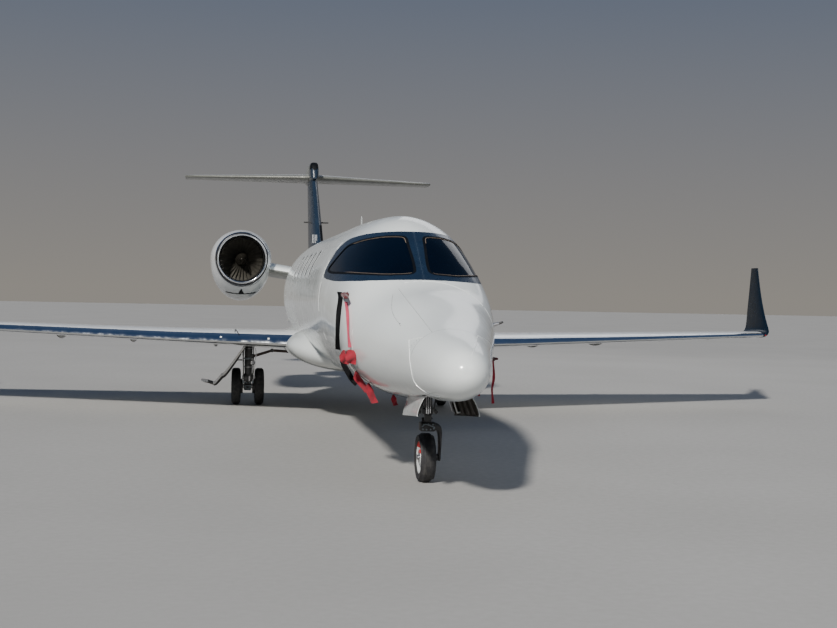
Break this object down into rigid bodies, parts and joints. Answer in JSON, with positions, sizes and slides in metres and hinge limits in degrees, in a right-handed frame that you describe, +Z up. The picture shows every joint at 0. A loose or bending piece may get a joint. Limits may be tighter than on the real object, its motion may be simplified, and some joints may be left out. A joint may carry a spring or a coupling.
{
  "type": "business jet",
  "caption": "Twin-engined business jet with a T-tail and winglets, parked on its gear, with moving controls, doors and wheels.",
  "frame": {"origin": "on the ground, on the centreline, at the middle of the overall length", "axes": "+X to the left wing, +Y to the tail, +Z up; the nose points along -Y"},
  "size_m": [14.4122, 17.68, 4.34],
  "materials": {
    "white_paint": "gloss white aircraft paint",
    "white_composite": "gloss white paint on composite",
    "nacelle_composite": "gloss white nacelle with a polished lip",
    "wing_paint": "gloss white with polished metal leading edges",
    "navy_paint": "gloss navy",
    "navy_composite": "gloss navy on composite",
    "black_composite": "satin black",
    "cockpit_glass": "tinted laminated glass",
    "cabin_glass": "tinted cabin windows",
    "floor_panel": "metal floor structure under a carpet",
    "dark_trim": "matt dark panel",
    "seat_leather": "soft tan leather",
    "fan_metal": "satin bare metal",
    "engine_metal": "dull heat-stained metal",
    "gear_paint": "grey enamel with bare chrome pistons",
    "tyre_rubber": "black tyre on a painted wheel",
    "cover_cloth": "red coated cloth"
  },
  "bodies": {
    "airframe": {"radome": "white_composite", "nose_section": "white_paint", "cockpit_section": "white_paint", "entrance_section": "white_paint", "cabin_section": "white_paint", "baggage_section": "white_paint", "tail_cone": "white_paint", "cabin_floor": "floor_panel", "instrument_panel": "dark_trim", "pilot_seats": "seat_leather", "wing_fairing": "white_composite", "fin": "navy_paint", "fin_cap": "black_composite", "nose_gear_leg": "gear_paint", "windscreen_left": "cockpit_glass", "windscreen_right": "cockpit_glass", "cabin_windows_left": "cabin_glass", "cabin_windows_right": "cabin_glass", "cabin_seats_left": "seat_leather", "cabin_seats_right": "seat_leather", "wing_left": "wing_paint", "wing_right": "wing_paint", "winglet_left": "navy_composite", "winglet_right": "navy_composite", "stabilizer_left": "wing_paint", "stabilizer_right": "wing_paint", "ventral_fin_left": "white_composite", "ventral_fin_right": "white_composite", "nacelle_left": "nacelle_composite", "nacelle_right": "nacelle_composite", "pylon_left": "white_paint", "pylon_right": "white_paint", "engine_core_left": "engine_metal", "engine_core_right": "engine_metal", "main_gear_leg_left": "gear_paint", "main_gear_leg_right": "gear_paint", "main_gear_door_left": "white_composite", "main_gear_door_right": "white_composite", "probe_covers_left": "cover_cloth", "probe_covers_right": "cover_cloth"},
    "rudder": {"rudder": "navy_paint"},
    "elevator_left": {"elevator_left": "wing_paint"},
    "elevator_right": {"elevator_right": "wing_paint"},
    "aileron_left": {"aileron_left": "wing_paint"},
    "aileron_right": {"aileron_right": "wing_paint"},
    "flap_left": {"flap_left": "wing_paint"},
    "flap_right": {"flap_right": "wing_paint"},
    "spoiler_left": {"spoiler_left": "wing_paint"},
    "spoiler_right": {"spoiler_right": "wing_paint"},
    "door_upper": {"passenger_door_upper": "white_paint"},
    "door_lower": {"passenger_door_lower": "white_paint"},
    "nose_door_left": {"nose_gear_door_left": "white_composite"},
    "nose_door_right": {"nose_gear_door_right": "white_composite"},
    "nose_steering": {"nose_fork": "gear_paint"},
    "nose_wheel": {"nose_wheel": "tyre_rubber"},
    "wheels_left": {"main_wheels_left": "tyre_rubber"},
    "wheels_right": {"main_wheels_right": "tyre_rubber"},
    "fan_left": {"fan_left": "fan_metal"},
    "fan_right": {"fan_right": "fan_metal"}
  },
  "joints": [
    {"name": "nose_steer", "type": "hinge", "parent": "airframe", "child": "nose_steering", "pos_m": [0, -7.04, 0.6], "axis": [0, 0, 1], "range_deg": [-60, 60]},
    {"name": "nose_wheel_spin", "type": "hinge", "parent": "nose_steering", "child": "nose_wheel", "pos_m": [0, -6.94, 0.2285], "axis": [1, 0, 0], "continuous": true},
    {"name": "wheels_left_spin", "type": "hinge", "parent": "airframe", "child": "wheels_left", "pos_m": [1.42, 1.01, 0.2795], "axis": [1, 0, 0], "continuous": true},
    {"name": "wheels_right_spin", "type": "hinge", "parent": "airframe", "child": "wheels_right", "pos_m": [-1.42, 1.01, 0.2795], "axis": [1, 0, 0], "continuous": true},
    {"name": "fan_left_spin", "type": "hinge", "parent": "airframe", "child": "fan_left", "pos_m": [1.515, 2.38, 2.255], "axis": [0, 1, 0], "continuous": true},
    {"name": "fan_right_spin", "type": "hinge", "parent": "airframe", "child": "fan_right", "pos_m": [-1.515, 2.38, 2.255], "axis": [0, 1, 0], "continuous": true},
    {"name": "rudder_hinge", "type": "hinge", "parent": "airframe", "child": "rudder", "pos_m": [0, 6.96232, 2.47], "axis": [0, 0.5354, 0.8446], "range_deg": [-30, 30]},
    {"name": "elevator_left_hinge", "type": "hinge", "parent": "airframe", "child": "elevator_left", "pos_m": [0.26, 8.1271, 4.05203], "axis": [0.9805, 0.1965, 0.0077], "range_deg": [-15, 20]},
    {"name": "elevator_right_hinge", "type": "hinge", "parent": "airframe", "child": "elevator_right", "pos_m": [-0.26, 8.1271, 4.05203], "axis": [0.9805, -0.1965, -0.0077], "range_deg": [-15, 20]},
    {"name": "aileron_left_hinge", "type": "hinge", "parent": "airframe", "child": "aileron_left", "pos_m": [5.05, 1.66357, 1.1131], "axis": [0.9912, 0.1281, 0.0332], "range_deg": [-18, 18]},
    {"name": "aileron_right_hinge", "type": "hinge", "parent": "airframe", "child": "aileron_right", "pos_m": [-5.05, 1.66357, 1.1131], "axis": [0.9912, -0.1281, -0.0332], "range_deg": [-18, 18]},
    {"name": "flap_left_hinge", "type": "hinge", "parent": "airframe", "child": "flap_left", "pos_m": [1.18749, 1.24621, 0.85544], "axis": [-0.9936, -0.1075, -0.0353], "range_deg": [0, 40]},
    {"name": "flap_right_hinge", "type": "hinge", "parent": "airframe", "child": "flap_right", "pos_m": [-1.18749, 1.24621, 0.85544], "axis": [-0.9936, 0.1075, 0.0353], "range_deg": [0, 40]},
    {"name": "spoiler_left_hinge", "type": "hinge", "parent": "airframe", "child": "spoiler_left", "pos_m": [2.7, 0.98538, 1.1298], "axis": [0.9846, 0.1742, 0.018], "range_deg": [0, 55]},
    {"name": "spoiler_right_hinge", "type": "hinge", "parent": "airframe", "child": "spoiler_right", "pos_m": [-2.7, 0.98538, 1.1298], "axis": [0.9846, -0.1742, -0.018], "range_deg": [0, 55]},
    {"name": "door_upper_hinge", "type": "hinge", "parent": "airframe", "child": "door_upper", "pos_m": [0.52946, -4.475, 2.368], "axis": [0, -1, 0], "range_deg": [0, 85]},
    {"name": "door_lower_hinge", "type": "hinge", "parent": "airframe", "child": "door_lower", "pos_m": [0.66196, -4.475, 1.092], "axis": [0, 1, 0], "range_deg": [0, 100]},
    {"name": "nose_door_left_hinge", "type": "hinge", "parent": "airframe", "child": "nose_door_left", "pos_m": [0.192, -8.0788, 0.90318], "axis": [0, 0.9957, -0.0931], "range_deg": [0, 100]},
    {"name": "nose_door_right_hinge", "type": "hinge", "parent": "airframe", "child": "nose_door_right", "pos_m": [-0.192, -8.0788, 0.90318], "axis": [0, -0.9957, 0.0931], "range_deg": [0, 100]}
  ],
  "couplings": [
    {"joint": "elevator_right_hinge", "follows": "elevator_left_hinge", "ratio": 1},
    {"joint": "aileron_right_hinge", "follows": "aileron_left_hinge", "ratio": -1},
    {"joint": "flap_right_hinge", "follows": "flap_left_hinge", "ratio": 1},
    {"joint": "spoiler_right_hinge", "follows": "spoiler_left_hinge", "ratio": 1}
  ]
}
